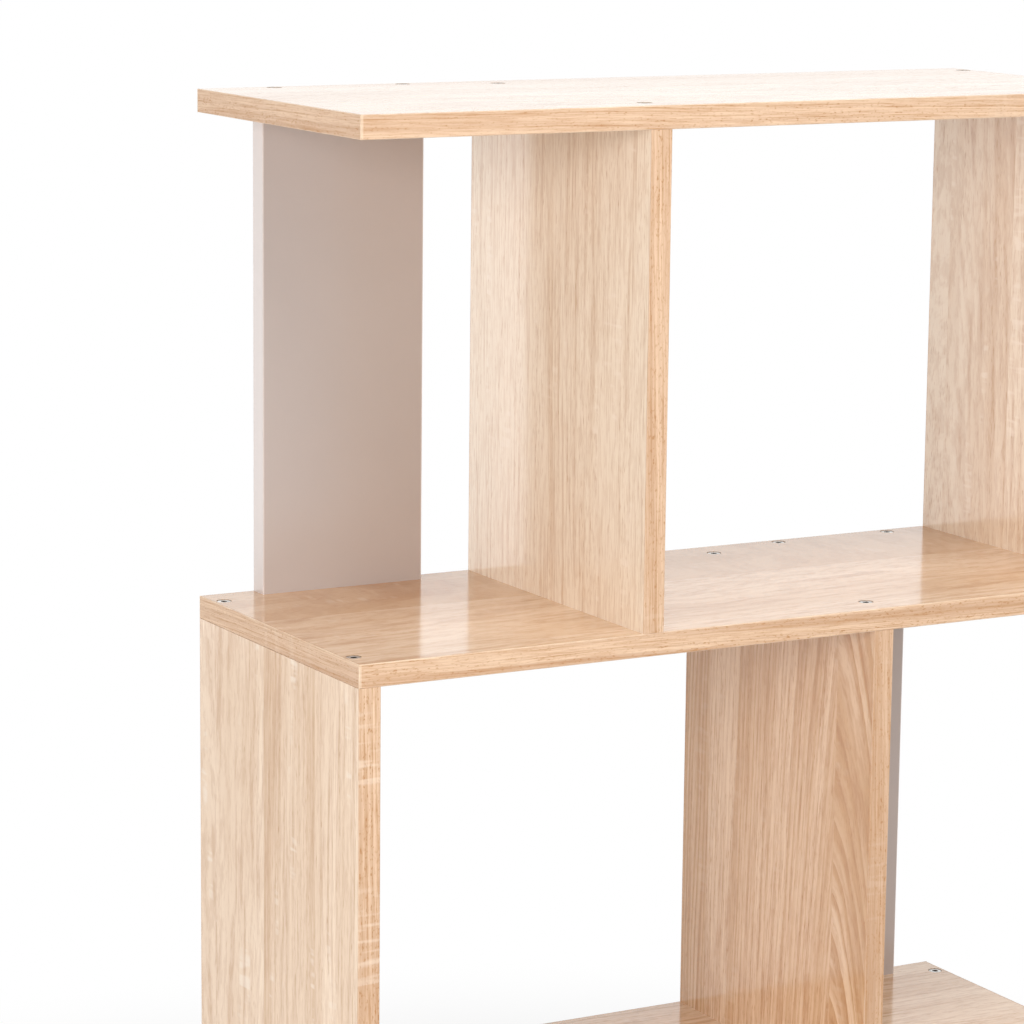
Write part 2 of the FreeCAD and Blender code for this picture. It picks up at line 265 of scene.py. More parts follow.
    colour = blend_colour(tree, tone, given["Pale"], given["Tan"])
    dark = calculate(tree, "MULTIPLY", pores, PORE_SHARES["pores"])
    dark = calculate(tree, "MULTIPLY_ADD", fibres, PORE_SHARES["fibres"], dark)
    dark = calculate(tree, "MULTIPLY_ADD", streaks, PORE_SHARES["streaks"], dark)
    dark = calculate(tree, "MULTIPLY_ADD", year, PORE_SHARES["year"], dark)
    dark = calculate(tree, "MULTIPLY", dark, given["Contrast"])
    colour = blend_colour(tree, dark, colour, given["Pore"])
    colour = blend_colour(tree, flecks, colour, given["Fleck"])
    sunk = calculate(tree, "MULTIPLY", pores, -1.0)
    height = calculate(tree, "MULTIPLY_ADD", fibres, FIBRE_HEIGHT, sunk)
    roughness = calculate(tree, "MULTIPLY_ADD", pores, PORE_ROUGHNESS, FACE_ROUGHNESS)
    roughness = calculate(tree, "MULTIPLY_ADD", broad, BROAD_ROUGHNESS, roughness)
    tree.links.new(colour, result["Color"])
    tree.links.new(height, result["Height"])
    tree.links.new(roughness, result["Roughness"])
    return tree


def make_chipboard():
    """Glued chips, pale and dark, where a board is cut or drilled."""
    tree, given, result = start_group("chipboard", {"Place": "Vector"}, {"Color": "Color"})
    chips = {"Vector": given["Place"], "Scale": CHIPS_PER_METRE}
    chips = add_node(tree, "TexVoronoi", chips).outputs["Color"]
    share = add_node(tree, "SeparateColor", {0: chips}).outputs[0]
    tree.links.new(blend_colour(tree, share, CHIP_DARK, CHIP_PALE), result["Color"])
    return tree


def make_border():
    """How near a place is to the border of a board: Near is 1 on the border and 0 at the width."""
    inputs = {"Place": "Vector", "Low": "Vector", "High": "Vector", "Width": "Float"}
    tree, given, result = start_group("board border", inputs, {"Near": "Float"})
    from_low = {0: given["Place"], 1: given["Low"]}
    from_low = add_node(tree, "VectorMath", from_low, operation="SUBTRACT").outputs[0]
    to_high = {0: given["High"], 1: given["Place"]}
    to_high = add_node(tree, "VectorMath", to_high, operation="SUBTRACT").outputs[0]
    nearest = add_node(tree, "VectorMath", {0: from_low, 1: to_high}, operation="MINIMUM").outputs[0]
    parts = add_node(tree, "SeparateXYZ", {0: nearest}).outputs
    least = calculate(tree, "MINIMUM", parts["X"], parts["Y"])
    least = calculate(tree, "MINIMUM", least, parts["Z"])
    near = calculate(tree, "SUBTRACT", 1.0, calculate(tree, "DIVIDE", least, given["Width"]))
    near = add_node(tree, "Clamp", {"Value": near}).outputs[0]
    tree.links.new(near, result["Near"])
    return tree


oak_decor = make_oak_decor()
chipboard = make_chipboard()
board_border = make_border()


def use_group(tree, group, **sockets):
    node = tree.nodes.new("ShaderNodeGroup")
    node.node_tree = group
    for socket, value in sockets.items():
        if isinstance(value, bpy.types.NodeSocket):
            tree.links.new(value, node.inputs[socket])
        else:
            node.inputs[socket].default_value = value
    return node.outputs


def start_material(name):
    """A material with only its Principled shader, and the object's own coordinates."""
    material = bpy.data.materials.new(name)
    material.use_nodes = True
    tree = material.node_tree
    shader = tree.nodes["Principled BSDF"]
    coordinates = tree.nodes.new("ShaderNodeTexCoord").outputs
    return material, tree, shader, coordinates


def connect(tree, source, shader, socket):
    tree.links.new(source, shader.inputs[socket])


def bump(tree, height, distance):
    return add_node(tree, "Bump", {"Height": height, "Distance": distance}).outputs["Normal"]


def turned_place(tree, place, grain):
    """The place with its grain axis first: X stays, and Y or Z changes places with X."""
    if grain == "X":
        return place
    parts = add_node(tree, "SeparateXYZ", {0: place}).outputs
    order = {"Y": ("Y", "X", "Z"), "Z": ("Z", "Y", "X")}[grain]
    return combine(tree, *(parts[axis] for axis in order))


def oak_face_material(node, grain, seed, heart, depth, tilt, **changes):
    """Decor on both faces of a board, its chipboard where it is drilled, and its glue lines."""
    material, tree, shader, coordinates = start_material(f"{node}_oak")
    place = coordinates["Object"]
    values = {
        "Place": turned_place(tree, place, grain), "Seed": seed,
        "Heart": heart, "Depth": depth, "Tilt": tilt,
        "Spacing": RING_SPACING, "Rings": 0.35, "Joint": STAVE_JOINT, "Stave": STAVE_WIDTH,
        "Pale": OAK_PALE, "Tan": OAK_TAN, "Pore": OAK_PORE, "Fleck": OAK_FLECK,
        "Flecks": 0.55, "Fleck Width": 0.018, "Pore Width": 0.0009, "Tone": 0.0, "Contrast": 1.0,
    }
    oak = use_group(tree, oak_decor, **(values | changes))

    # A glue line shows only beside the end bands of a shelf, so the other borders are moved away
    low, high = (Vector(corner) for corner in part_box(node))
    thin = min(range(3), key=lambda axis: high[axis] - low[axis])
    plain = {thin, 1} if grain == "X" else {thin, 1, 2}
    away = Vector([1.0 if axis in plain else 0.0 for axis in range(3)])
    border = {"Place": place, "Low": low - away, "High": high + away, "Width": 2 * GLUE_LINE}
    near = use_group(tree, board_border, **border)["Near"]
    glued = calculate(tree, "MULTIPLY", fade(tree, near, *GLUE_EDGE), GLUE_SHARE)

    # The slopes and walls of the holes, and the sawn ends, don't face the way that the decor does
    facing = add_node(tree, "SeparateXYZ", {0: coordinates["Normal"]}).outputs[thin]
    flat = fade(tree, calculate(tree, "ABSOLUTE", facing), *FLAT_FACING)
    cut = calculate(tree, "SUBTRACT", 1.0, flat)
    bared = calculate(tree, "MULTIPLY", cut, BARED_CHIPS[grain])

    colour = blend_colour(tree, glued, oak["Color"], GLUE_BROWN)
    colour = blend_colour(tree, bared, colour, use_group(tree, chipboard, Place=place)["Color"])
    connect(tree, colour, shader, "Base Color")
    roughness = calculate(tree, "MULTIPLY_ADD", cut, CUT_ROUGHNESS, oak["Roughness"])
    connect(tree, roughness, shader, "Roughness")
    connect(tree, bump(tree, oak["Height"], FACE_RELIEF), shader, "Normal")
    shader.inputs["IOR"].default_value = LAMINATE_IOR
    return material


def dress(node, material):
    """Gives a carried-over board its material."""
    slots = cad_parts[node].data.materials
    slots.clear()
    slots.append(material)


def print_place(number, start, step):
    """Where on the print a board's decor is taken from, each board a step further on."""
    return [first + number * move for first, move in zip(start, step)]


# A step of a whole turn gives every shelf staves of the same tones
SHELF_PRINT = {"start": (-0.1, 0.0, 0.2), "step": (math.tau, 3.1, 0.9)}

# The front stave of each shelf is a narrow pale one, and the heart lies just off the board
FRONT_STAVE = {"Joint": -0.105, "Stave": 0.13}
SHELF_TONES = {"base_shelf": 0.05, "lower_shelf": -0.10, "upper_shelf": 0.14, "top_shelf": 0.14}
SHELF_HEARTS = {"base_shelf": 0.22, "lower_shelf": -0.24, "upper_shelf": 0.20, "top_shelf": -0.26}
for number, node in enumerate(SHELF_NAMES):
    seed = print_place(number, **SHELF_PRINT)
    changes = {"Tone": SHELF_TONES[node], "Flecks": 0.15, "Contrast": 1.2} | FRONT_STAVE
    oak = oak_face_material(node, "X", seed, SHELF_HEARTS[node], depth=0.080, tilt=0.015, **changes)
    dress(node, oak)


# Uprights. The same board and decor as the shelves, with the grain standing and screwed between them.
# The two of the upper tier are painted paler and whiter, as painted light and reflection. The inner one
# of the middle tier was cut through the heart of the figure, which draws half arches near its front.

# Painted light and reflection: the paler, whiter print of the upper tier's uprights, standing in for the
# brighter light and the white that they reflect
OAK_PALE_LIT = (0.925, 0.775, 0.612, 1.0)
ARCHED_STAVE = 0.085
ARCHED_JOINT = -0.080 - ARCHED_STAVE
UPRIGHT_PRINT = {"start": (5.1, 0.7, 0.0), "step": (2.3, 1.3, 0.6)}
UPRIGHTS = {
    "lower_end_upright": dict(heart=0.185, depth=0.060, tilt=0.020),
    "lower_inner_upright": dict(heart=-0.160, depth=0.050, tilt=0.015),
    "middle_end_upright": dict(heart=0.175, depth=0.060, tilt=0.015, Tone=-0.04),
    "middle_inner_upright": dict(
        heart=-0.068, depth=-0.053, tilt=0.120, Tone=0.20, Contrast=1.4, Flecks=0.1,
        Spacing=0.0050, Rings=1.5, Stave=ARCHED_STAVE, Joint=ARCHED_JOINT, Seed=(13.67, 4.6, 1.8),
    ),
    # The upper tier's lighter tones and softer contrast are painted light and reflection too
    "upper_end_upright": dict(heart=0.185, depth=0.070, tilt=0.020, Tone=-0.28, Pale=OAK_PALE_LIT),
    "upper_inner_upright": dict(
        heart=-0.190, depth=0.060, tilt=0.020, Tone=-0.52, Contrast=0.85, Pale=OAK_PALE_LIT,
    ),
}

for number, (node, figure) in enumerate(UPRIGHTS.items()):
    seed = print_place(number, **UPRIGHT_PRINT)
    dress(node, oak_face_material(node, "Z", seed, **figure))


# Oak edge bands. Thin strips of a finer and redder decor, glued round the shelves and down the fronts
# and backs of the uprights, then trimmed flush, which leaves a narrow scraped bevel. The front and back
# bands of a shelf cover the ends of its end bands.

BAND_PALE = (0.930, 0.695, 0.495, 1.0)
BAND_TAN = (0.530, 0.310, 0.185, 1.0)
BAND_SPACING = 0.0022
BAND_THICKNESS = 0.001
SCRAPED = (0.900, 0.740, 0.560, 1.0)
SCRAPE_WIDTH = 0.0018
SCRAPE_SHARES = {"X": 0.7, "Z": 0.25}
SCRAPE_ROUGHNESS = 0.2
# How pale the corners of a shelf's front and back bands are: partly scraped trim, partly a painted
# highlight
CORNER_SCRAPE_AND_GLINT = 0.6
KNOCK_LENGTH = 0.012
KNOCKS_SHOW = (0.35, 0.65)
KNOCK_RISE = 0.6
KNOCK_LEAST = 0.4
BAND_IOR = 1.40
BAND_ROUGHNESS = 0.30
BAND_RELIEF = 0.00004
BAND_TONES = {
    "base_shelf": 0.15, "lower_shelf": 0.10, "upper_shelf": 0.10, "top_shelf": 0.30,
    "lower_end_upright": 0.10, "lower_inner_upright": 0.20,
    "middle_end_upright": 0.15, "middle_inner_upright": 0.40,
    "upper_end_upright": 0.10, "upper_inner_upright": 0.20,
}
BAND_FLECKS = {"middle_end_upright": 0.45}
FEW_FLECKS = 0.12
SHELF_BAND_PRINT = {"start": (11.0, 8.0, 0.0), "step": (4.1, 0.7, 2.9)}
UPRIGHT_BAND_PRINT = {"start": (31.0, 4.0, 0.0), "step": (3.3, 1.9, 0.8)}


def make_edge_wear():
    """Marks a trimmed bevel, which faces no axis squarely, and small knocks along it."""
    inputs = {"Place": "Vector", "Normal": "Vector"}
    tree, given, result = start_group("edge wear", inputs, {"Mask": "Float"})
    parts = add_node(tree, "SeparateXYZ", {0: given["Normal"]}).outputs
    sizes = [calculate(tree, "ABSOLUTE", parts[axis]) for axis in "XYZ"]
    widest = calculate(tree, "MAXIMUM", calculate(tree, "MAXIMUM", sizes[0], sizes[1]), sizes[2])
    bevel = calculate(tree, "SUBTRACT", 1.0, fade(tree, widest, *FLAT_FACING))
    knocks = speckle(tree, stepped(tree, given["Place"], KNOCK_LENGTH), detail=3.0, roughness=0.7)
    knocks = fade(tree, knocks, *KNOCKS_SHOW)
    knocks = calculate(tree, "MULTIPLY_ADD", knocks, KNOCK_RISE, KNOCK_LEAST)
    tree.links.new(calculate(tree, "MULTIPLY", bevel, knocks), result["Mask"])
    return tree


edge_wear = make_edge_wear()


def oak_band_material(node, grain, seed):
    """Decor along each band round a board, with a scraped bevel and, on shelves, scraped corners with a
    painted highlight.
    """
    material, tree, shader, coordinates = start_material(f"{node}_band")
    place = coordinates["Object"]
    along = turned_place(tree, place, grain)

    # The grain of a shelf's end bands runs along Y, and that of its front and back bands along X
    if grain == "X":
        high = Vector(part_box(f"{node}_edging")[1])
        parts = add_node(tree, "SeparateXYZ", {0: place}).outputs
        from_middle = calculate(tree, "ABSOLUTE", parts["Y"])
        on_end = calculate(tree, "LESS_THAN", from_middle, high.y - BAND_THICKNESS)
        either = {"Factor": on_end, 4: along, 5: turned_place(tree, place, "Y")}
        along = add_node(tree, "Mix", either, data_type="VECTOR").outputs[1]

    values = {
        "Place": along, "Seed": seed, "Heart": 0.0, "Depth": 0.40, "Tilt": 0.02,
        "Spacing": BAND_SPACING, "Rings": 0.5, "Joint": -0.5, "Stave": 1.0,
        "Pale": BAND_PALE, "Tan": BAND_TAN, "Pore": OAK_PORE, "Fleck": OAK_FLECK,
        "Flecks": BAND_FLECKS.get(node, FEW_FLECKS), "Fleck Width": 0.060, "Pore Width": 0.0003,
        "Tone": BAND_TONES[node], "Contrast": 1.5,
    }
    oak = use_group(tree, oak_decor, **values)
    scraped = use_group(tree, edge_wear, Place=place, Normal=coordinates["Normal"])["Mask"]

    # Where the front and back bands were trimmed off at the corners of a shelf, they are scraped too,
    # and the pale stripe there is partly a painted highlight of the corner
    if grain == "X":
        from_middle = calculate(tree, "ABSOLUTE", parts["X"])
        corner = calculate(tree, "GREATER_THAN", from_middle, high.x - SCRAPE_WIDTH)
        corner = calculate(tree, "MULTIPLY", corner, calculate(tree, "SUBTRACT", 1.0, on_end))
        corner = calculate(tree, "MULTIPLY", corner, CORNER_SCRAPE_AND_GLINT)
        scraped = calculate(tree, "MAXIMUM", scraped, corner)

    worn = calculate(tree, "MULTIPLY", scraped, SCRAPE_SHARES[grain])
    colour = blend_colour(tree, worn, oak["Color"], SCRAPED)
    connect(tree, colour, shader, "Base Color")
    roughness = calculate(tree, "ADD", oak["Roughness"], BAND_ROUGHNESS)
    roughness = calculate(tree, "MULTIPLY_ADD", scraped, SCRAPE_ROUGHNESS, roughness)
    connect(tree, roughness, shader, "Roughness")
    connect(tree, bump(tree, oak["Height"], BAND_RELIEF), shader, "Normal")
    shader.inputs["IOR"].default_value = BAND_IOR
    return material


for number, node in enumerate(SHELF_NAMES):
    seed = print_place(number, **SHELF_BAND_PRINT)
    dress(f"{node}_edging", oak_band_material(node, "X", seed))
for number, node in enumerate(UPRIGHTS):
    seed = print_place(number, **UPRIGHT_BAND_PRINT)
    dress(f"{node}_edging", oak_band_material(node, "Z", seed))


# Grey panels. Narrow chipboard boards with a plain warm grey melamine face, one across the back of
# each end bay, banded down both sides in a lighter grey. The face has a faint pearl and a soft sheen,
# and each panel is screwed between two shelves like the uprights.

GREY_FACE = (0.515, 0.442, 0.410, 1.0)
GREY_PEARL = (0.555, 0.480, 0.448, 1.0)
GREY_BAND = (0.700, 0.615, 0.580, 1.0)
CLOUD_LENGTH = 0.05
CLOUD_SHARE = 0.7
CLOUD_ROUGHNESS = 0.08
EMBOSS_LENGTH = 0.0012
EMBOSS_SHARE = 0.3
EMBOSS_RELIEF = 0.00001
GREY_ROUGHNESS = 0.16
GREY_SCRAPE = 0.5
PANEL_NAMES = ("lower_panel", "middle_panel", "upper_panel")


def make_melamine():
    """A plain pressed face with a faint cloudy pearl and a fine leathery emboss."""
    inputs = {"Place": "Vector", "Deep": "Color", "Pearl": "Color"}
    outputs = {"Color": "Color", "Height": "Float", "Roughness": "Float"}
    tree, given, result = start_group("plain melamine", inputs, outputs)
    clouds = speckle(tree, stepped(tree, given["Place"], CLOUD_LENGTH), detail=4.0, roughness=0.6)
    emboss = speckle(tree, stepped(tree, given["Place"], EMBOSS_LENGTH), detail=2.0, roughness=0.5)
    share = calculate(tree, "MULTIPLY", clouds, CLOUD_SHARE)
    share = calculate(tree, "MULTIPLY_ADD", emboss, EMBOSS_SHARE, share)
    roughness = calculate(tree, "MULTIPLY_ADD", clouds, CLOUD_ROUGHNESS, GREY_ROUGHNESS)
    tree.links.new(blend_colour(tree, share, given["Deep"], given["Pearl"]), result["Color"])
    tree.links.new(emboss, result["Height"])
    tree.links.new(roughness, result["Roughness"])
    return tree


plain_melamine = make_melamine()


def grey_material(node, deep, pearl):
    material, tree, shader, coordinates = start_material(f"{node}_grey")
    place = coordinates["Object"]
    melamine = use_group(tree, plain_melamine, Place=place, Deep=deep, Pearl=pearl)
    scraped = use_group(tree, edge_wear, Place=place, Normal=coordinates["Normal"])["Mask"]
    scraped = calculate(tree, "MULTIPLY", scraped, GREY_SCRAPE)
    colour = blend_colour(tree, scraped, melamine["Color"], GREY_BAND)
    connect(tree, colour, shader, "Base Color")
    connect(tree, melamine["Roughness"], shader, "Roughness")
    connect(tree, bump(tree, melamine["Height"], EMBOSS_RELIEF), shader, "Normal")
    shader.inputs["IOR"].default_value = LAMINATE_IOR
    return material


for node in PANEL_NAMES:
    dress(node, grey_material(node, GREY_FACE, GREY_PEARL))
    dress(f"{node}_edging", grey_material(f"{node}_edging", GREY_BAND, GREY_BAND))


# Connector screws. One-piece steel screws, zinc plated, with a coarse thread, a countersunk head and a
# hexagon socket. They are driven through the shelves into the ends of the uprights and panels, and only
# their heads show, sunk just below the face, with painted shade dark in the sockets.

ZINC_BRIGHT = (0.760, 0.750, 0.730, 1.0)
ZINC_DULL = (0.420, 0.405, 0.385, 1.0)
# Painted shade: the near black that the sockets take, standing in for the shade in their recess
SOCKET_SHADE = (0.060, 0.050, 0.042, 1.0)
HEAD_STEPS = 36
THREAD_STEPS = 12
THREAD_PITCH = 0.003
THREAD_RINGS = 6
HEAD_RADIUS = 0.0049
SHANK_RADIUS = 0.0030
CORE_RADIUS = 0.0023
SOCKET_APOTHEM = 0.0020
SOCKET_DEPTH = 0.0025
SOCKET_CONE = 0.0006
SOCKET_CONE_SHARE = 0.2
SOCKET_RINGS = 3
HEAD_EDGE = 0.00025
COLLAR_LENGTH = 0.012
RIDGE_SHARE = 0.25
TIP_LENGTH = 0.005
MARK_LENGTH = 0.0006
MARK_RELIEF = 0.00003
FILM_LENGTH = 0.004
FILM_SHOWS = (0.35, 0.7)
FILM_ROUGHNESS = 0.25
ZINC_ROUGHNESS = 0.22
SOCKET_SHADE_SHOWS = (0.2, 0.9)

# The shoulder and the end of the tip: their share of the core's width, and how far down it they lie
TIP_SHARES = ((0.8, 0.4), (0.1, 1.0))


def ring_point(radius, turn, height):
    return Vector((radius * math.cos(turn), radius * math.sin(turn), height))


def round_ring(radius, height, steps):
    return [ring_point(radius, math.tau * step / steps, height) for step in range(steps)]


def hexagon_ring(apothem, height, steps):
    """A hexagon with as many points as the round rings that it is joined to."""
    points = []
    for step in range(steps):
        turn = math.tau * step / steps
        off_flat = (turn % (math.tau / 6)) - math.tau / 12
        points.append(ring_point(apothem / math.cos(off_flat), turn, height))
    return points


def thread_ring(height, steps):
    """One ring of the thread, whose ridge climbs by a pitch in each turn."""
    points = []
    for step in range(steps):
        share = (height / THREAD_PITCH + step / steps) % 1.0
        ridge = max(0.0, 1.0 - abs(share - 0.5) / RIDGE_SHARE)
        radius = CORE_RADIUS + (SHANK_RADIUS - CORE_RADIUS) * ridge
        points.append(ring_point(radius, math.tau * step / steps, height))
    return points


def loft(shape, rings, closed_start, closed_end):
    """Skins a row of rings with as many points each, closes its ends, and gives back their points."""
    rows = [[shape.verts.new(point) for point in ring] for ring in rings]
    count = len(rings[0])
    for before, after in zip(rows, rows[1:]):
        for step in range(count):
            follow = (step + 1) % count
            shape.faces.new((before[step], before[follow], after[follow], after[step]))
    if closed_start:
        shape.faces.new(rows[0][::-1])
    if closed_end:
        shape.faces.new(rows[-1])
    return rows


def build_screw(length):
    """A screw with its head's face at the origin and its point straight down."""
    shape = bmesh.new()
    cone = HEAD_RADIUS - SHANK_RADIUS
    head = [
        hexagon_ring(SOCKET_CONE_SHARE * SOCKET_APOTHEM, -SOCKET_DEPTH - SOCKET_CONE, HEAD_STEPS),
        hexagon_ring(SOCKET_APOTHEM, -SOCKET_DEPTH, HEAD_STEPS),
        hexagon_ring(SOCKET_APOTHEM, -HEAD_EDGE, HEAD_STEPS),
        hexagon_ring(SOCKET_APOTHEM + HEAD_EDGE, 0.0, HEAD_STEPS),
        round_ring(HEAD_RADIUS - HEAD_EDGE, 0.0, HEAD_STEPS),
        round_ring(HEAD_RADIUS, -HEAD_EDGE, HEAD_STEPS),
        round_ring(HEAD_RADIUS - cone + HEAD_EDGE, -cone, HEAD_STEPS),
        round_ring(SHANK_RADIUS, -cone - HEAD_EDGE, HEAD_STEPS),
        round_ring(SHANK_RADIUS, -COLLAR_LENGTH, HEAD_STEPS),
        round_ring(CORE_RADIUS, -COLLAR_LENGTH - HEAD_EDGE, HEAD_STEPS),
    ]
    sunk = shape.verts.layers.float.new("sunk")
    rows = loft(shape, [ring[::-1] for ring in head], True, True)
    for ring in rows[:SOCKET_RINGS]:
        for vertex in ring:
            vertex[sunk] = 1.0
    start = -COLLAR_LENGTH
    end = TIP_LENGTH - length
    count = round((start - end) / THREAD_PITCH * THREAD_RINGS)
    heights = [start + (end - start) * index / count for index in range(count + 1)]
    thread = [thread_ring(height, THREAD_STEPS) for height in heights]
    for width, down in TIP_SHARES:
        thread.append(round_ring(CORE_RADIUS * width, end - TIP_LENGTH * down, THREAD_STEPS))
    loft(shape, [ring[::-1] for ring in thread], True, True)
    bmesh.ops.recalc_face_normals(shape, faces=shape.faces)
    return shape


def zinc_material():
    """Zinc over steel: fine marks, a dull film here and there, and painted shade dark in the socket."""
    material, tree, shader, coordinates = start_material("zinc_plated_steel")
    place = coordinates["Object"]
    marks = speckle(tree, stepped(tree, place, MARK_LENGTH), detail=3.0, roughness=0.6)
    film = speckle(tree, stepped(tree, place, FILM_LENGTH), detail=3.0, roughness=0.6)
    colour = blend_colour(tree, fade(tree, film, *FILM_SHOWS), ZINC_BRIGHT, ZINC_DULL)
    # The socket's rings are painted dark as shade, fading out across the rim of the socket
    sunk = add_node(tree, "Attribute", attribute_name="sunk").outputs["Fac"]
    colour = blend_colour(tree, fade(tree, sunk, *SOCKET_SHADE_SHOWS), colour, SOCKET_SHADE)
    connect(tree, colour, shader, "Base Color")
    roughness = calculate(tree, "MULTIPLY_ADD", film, FILM_ROUGHNESS, ZINC_ROUGHNESS)
    connect(tree, roughness, shader, "Roughness")
    connect(tree, bump(tree, marks, MARK_RELIEF), shader, "Normal")
    shader.inputs["Metallic"].default_value = 1.0
    return material


def piece_places(node, spread):
    """The middles of like pieces that stand apart in one node, in X and Y."""
    groups = []
    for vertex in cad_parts[node].data.vertices:
        for group in groups:
            if math.dist(group[0], vertex.co.xy) < spread:
                group.append(vertex.co.xy.copy())
                break
        else:
            groups.append([vertex.co.xy.copy()])
    middles = []
    for group in groups:
        across = [spot.x for spot in group]
        along = [spot.y for spot in group]
        middles.append(Vector(((min(across) + max(across)) / 2, (min(along) + max(along)) / 2)))
    return middles


def put_object(shape, name, material):
    """Turns a mesh under construction into a piece that rides on the unit."""
    mesh = bpy.data.meshes.new(name)
    shape.to_mesh(mesh)
    shape.free()
    mesh.materials.append(material)
    piece = bpy.data.objects.new(name, mesh)
    bpy.context.scene.collection.objects.link(piece)
    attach(piece, "root")
    return piece


zinc = zinc_material()
screw_nodes = [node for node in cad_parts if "_screws_" in node]
for node in sorted(screw_nodes):
    low, high = (Vector(corner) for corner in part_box(node))
    upward = node.endswith("_up")
    screw = build_screw(high.z - low.z)
    turn = Matrix.Rotation(math.pi if upward else 0.0, 4, "X")
    face = low.z if upward else high.z
    together = bmesh.new()
    single = bpy.data.meshes.new("screw")
    screw.to_mesh(single)
    screw.free()
    for middle in piece_places(node, 3 * HEAD_RADIUS):
        known = len(together.verts)
        together.from_mesh(single)
        together.verts.ensure_lookup_table()
        move = Matrix.Translation((middle.x, middle.y, face)) @ turn
        bmesh.ops.transform(together, matrix=move, verts=together.verts[known:])
    bpy.data.meshes.remove(single)
    screws = put_object(together, f"{node}_turned", zinc)
    for polygon in screws.data.polygons:
        polygon.use_smooth = False
    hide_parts(node)


# Felt pads. Squares of pressed brown felt that carry the unit, stuck under the base shelf, rounded and a
# little ragged at their edges.

FELT_BROWN = (0.125, 0.090, 0.065, 1.0)
FELT_PALE = (0.240, 0.185, 0.140, 1.0)
FELT_ROUNDING = 0.0008
FELT_FUZZ = 0.00012
FUZZ_STEPS = 900
FUZZ_SEED = 1
FIBRE_LENGTHS = (0.0020, 0.0005, 0.0005)
FIBRES_SHOW = (0.3, 0.7)
FIBRE_ROUGHNESS = 0.10
FELT_ROUGHNESS = 0.85
FELT_RELIEF = 0.0002
FELT_SHEEN = 0.4
PAD_REACH = 0.05


def felt_material():
    material, tree, shader, coordinates = start_material("pressed_felt")
    place = coordinates["Object"]
    fibres = speckle(tree, scaled(tree, place, *FIBRE_LENGTHS), detail=4.0, roughness=0.7)
    colour = blend_colour(tree, fade(tree, fibres, *FIBRES_SHOW), FELT_BROWN, FELT_PALE)
    connect(tree, colour, shader, "Base Color")
    roughness = calculate(tree, "MULTIPLY_ADD", fibres, FIBRE_ROUGHNESS, FELT_ROUGHNESS)
    connect(tree, roughness, shader, "Roughness")
    connect(tree, bump(tree, fibres, FELT_RELIEF), shader, "Normal")
    shader.inputs["Sheen Weight"].default_value = FELT_SHEEN
    return material


pad_low, pad_high = (Vector(corner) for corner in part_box("base_pads"))
middles = piece_places("base_pads", PAD_REACH)
pad_half = (pad_high.x - max(middle.x for middle in middles)) - FELT_FUZZ
felt = bmesh.new()
for middle in middles:
    size = Matrix.Diagonal((2 * pad_half, 2 * pad_half, pad_high.z - pad_low.z, 1.0))
    centre = Matrix.Translation((middle.x, middle.y, (pad_high.z + pad_low.z) / 2))
    bmesh.ops.create_cube(felt, size=1.0, matrix=centre @ size)
bmesh.ops.bevel(felt, geom=felt.edges[:], offset=FELT_ROUNDING, segments=3, affect="EDGES")
bmesh.ops.subdivide_edges(felt, edges=felt.edges[:], cuts=2, use_grid_fill=True)
noise.seed_set(FUZZ_SEED)
for vertex in felt.verts:
    if pad_low.z + FELT_FUZZ < vertex.co.z < pad_high.z - FELT_FUZZ:
        vertex.co.xy += noise.noise_vector(vertex.co * FUZZ_STEPS).xy * FELT_FUZZ
pads = put_object(felt, "felt_pads", felt_material())
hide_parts("base_pads")


# Floor. A plain pale sheet under and far behind the unit. Near the unit it takes the soft shadow, and
# further off it fades into the white of the room.

FLOOR_COLOUR = (0.900, 0.895, 0.890, 1.0)
FLOOR_HALF = 30.0
SHADOW_REACH = (0.6, 1.5)
WHITE = (1.0, 1.0, 1.0, 1.0)


def seen_white(tree):
    """1 for the rays that look at the room and 0 for those that only light it."""
    rays = tree.nodes.new("ShaderNodeLightPath").outputs
    seen = calculate(tree, "MAXIMUM", rays["Is Camera Ray"], rays["Is Glossy Ray"])
    return calculate(tree, "MAXIMUM", seen, rays["Is Transmission Ray"])


def floor_material():
    material, tree, shader, coordinates = start_material("pale_floor")
    shader.inputs["Base Color"].default_value = FLOOR_COLOUR
    shader.inputs["Roughness"].default_value = 0.9
    shader.inputs["Specular IOR Level"].default_value = 0.0
    away = add_node(tree, "VectorMath", {0: coordinates["Object"]}, operation="LENGTH").outputs["Value"]
    far = fade(tree, away, *SHADOW_REACH)
    share = calculate(tree, "MULTIPLY", far, seen_white(tree))
    glow = add_node(tree, "Emission", {"Color": WHITE, "Strength": 1.0}).outputs[0]
    mixed = add_node(tree, "MixShader", {"Fac": share, 1: shader.outputs[0], 2: glow}).outputs[0]
    output = next(node for node in tree.nodes if node.type == "OUTPUT_MATERIAL")
    tree.links.new(mixed, output.inputs["Surface"])
    return material


floor_shape = bmesh.new()
bmesh.ops.create_grid(floor_shape, x_segments=1, y_segments=1, size=FLOOR_HALF)
floor_mesh = bpy.data.meshes.new("floor")
floor_shape.to_mesh(floor_mesh)
floor_shape.free()
floor_mesh.materials.append(floor_material())
floor = bpy.data.objects.new("floor", floor_mesh)
bpy.context.scene.collection.objects.link(floor)


# Light. A white room lights the unit evenly. Soft panels give the boards their shading: a low one to
# the left of the front, a higher one to the right of it, one high up in front, and a weak one behind.
# The wide lit backdrop behind the unit shows as white in the glossy boards.

